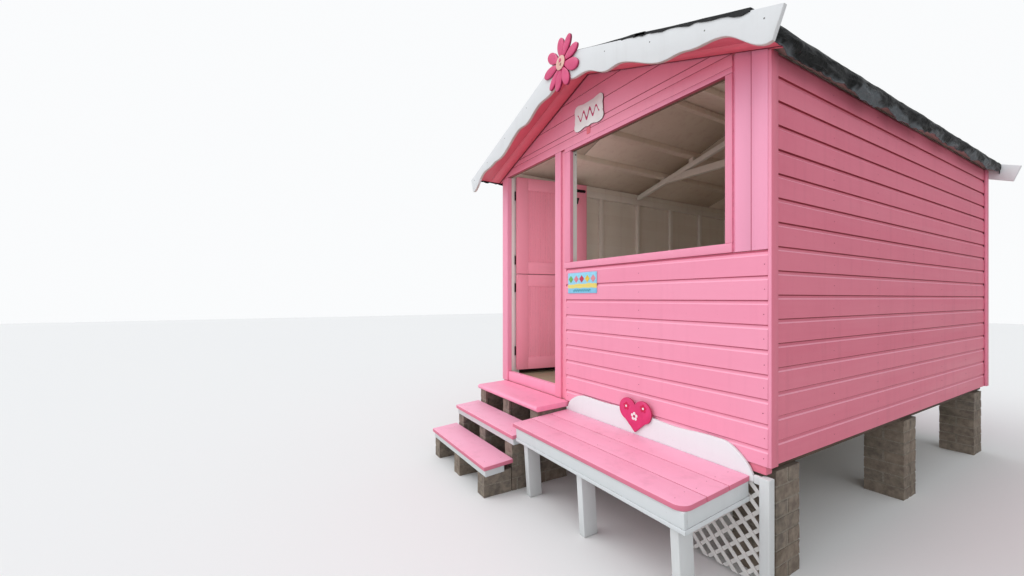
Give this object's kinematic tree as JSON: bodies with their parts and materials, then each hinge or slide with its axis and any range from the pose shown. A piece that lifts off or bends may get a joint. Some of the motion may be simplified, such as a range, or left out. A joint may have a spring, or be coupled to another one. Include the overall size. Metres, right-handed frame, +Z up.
{
  "type": "beach hut",
  "caption": "Small timber beach hut on brick piers with a pitched felt roof, waved bargeboards, a stable door, an open window, steps and a front bench.",
  "frame": {"origin": "middle of the footprint at ground level, under the ridge", "axes": "+Z up, the hut's front with its door and window faces -Y, the ridge runs along Y, the door is at -X"},
  "size_m": [2.79, 4.292, 3.046],
  "materials": {
    "pink_paint": "satin paint on timber",
    "deep_pink_paint": "satin paint on timber",
    "white_paint": "satin paint on timber",
    "room_paint": "matt paint on timber",
    "bare_wood": "weathered bare timber",
    "roof_felt": "mineral roofing felt",
    "masonry": "weathered brick and mortar",
    "sign_plate": "painted plate",
    "black_metal": "black japanned iron"
  },
  "bodies": {
    "hut": {"hut_piers": "masonry", "bearers": "pink_paint", "floor": "bare_wood", "side_walls": "pink_paint", "back_wall": "pink_paint", "front_lower_wall": "pink_paint", "front_side_boards": "pink_paint", "front_gable": "pink_paint", "corner_trims": "pink_paint", "side_wall_studs": "room_paint", "end_wall_studs": "room_paint", "front_posts": "pink_paint", "recess_strip": "deep_pink_paint", "hinge_lining": "white_paint", "header": "pink_paint", "door_sill": "pink_paint", "window_frame": "pink_paint", "gable_rafters": "pink_paint", "purlins": "room_paint", "truss": "room_paint", "soffit": "pink_paint", "roof_deck": "bare_wood", "roof_felt": "roof_felt", "bargeboard_front_left": "white_paint", "bargeboard_front_right": "white_paint", "bargeboards_back": "white_paint", "ridge_flower": "deep_pink_paint", "name_plaque": "white_paint", "window_plate": "sign_plate", "landing": "pink_paint", "treads": "pink_paint", "tread_planks": "white_paint", "step_piers": "masonry", "bench_seat": "pink_paint", "bench_apron": "white_paint", "bench_frame": "white_paint", "bench_backboard": "white_paint", "bench_heart": "deep_pink_paint", "lattice_panel": "white_paint", "lattice_post": "white_paint", "hinge_plates": "black_metal"},
    "door": {"door_lower_leaf": "pink_paint", "door_upper_leaf": "pink_paint", "door_fittings": "black_metal", "hinge_leaves": "black_metal"}
  },
  "joints": [
    {"name": "door_hinge", "type": "hinge", "parent": "hut", "child": "door", "pos_m": [-1.143, -1.343, 1.5], "axis": [0, 0, 1], "range_deg": [-82, 4]}
  ]
}
